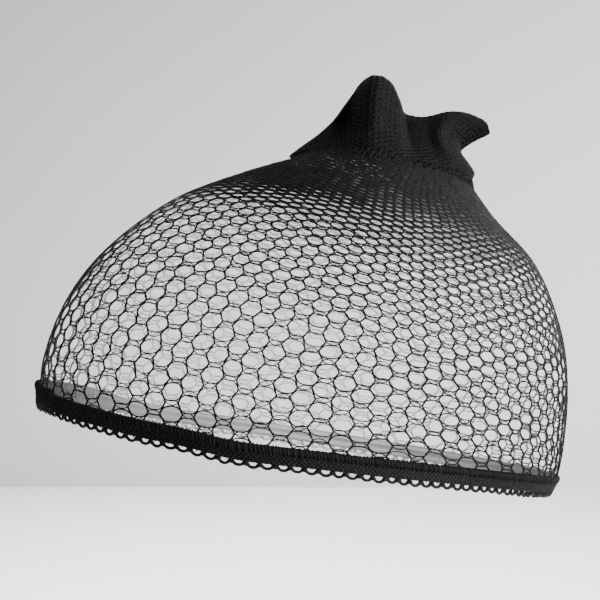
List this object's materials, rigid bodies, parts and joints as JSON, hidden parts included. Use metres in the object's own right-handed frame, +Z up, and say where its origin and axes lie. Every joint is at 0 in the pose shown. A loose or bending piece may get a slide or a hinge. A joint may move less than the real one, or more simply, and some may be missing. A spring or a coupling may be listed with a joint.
{
  "type": "mesh wig cap with a gathered top",
  "caption": "Knitted net cap in its worn dome form, with an elastic rim band, a picot edge and a gathered tuft at the crown.",
  "frame": {"origin": "middle of the rim opening, level with the head that wears the cap", "axes": "+Z up on a level head, -Y towards the wearer's face, +X towards the wearer's left"},
  "size_m": [0.1614, 0.1974, 0.1528],
  "materials": {
    "net": "black nylon net, warp knitted in hexagons, soft satin sheen",
    "dense_knit": "the same black net drawn up dense, nearly matt",
    "hem": "black overlocked seam with upright stitches",
    "tape": "black knitted elastic, fine zigzag texture",
    "picot": "black twisted thread"
  },
  "bodies": {
    "root": {"net_crown": "net", "gathered_top": "dense_knit", "hem_seam": "hem", "elastic_tape": "tape", "picot_edge": "picot"}
  },
  "joints": []
}
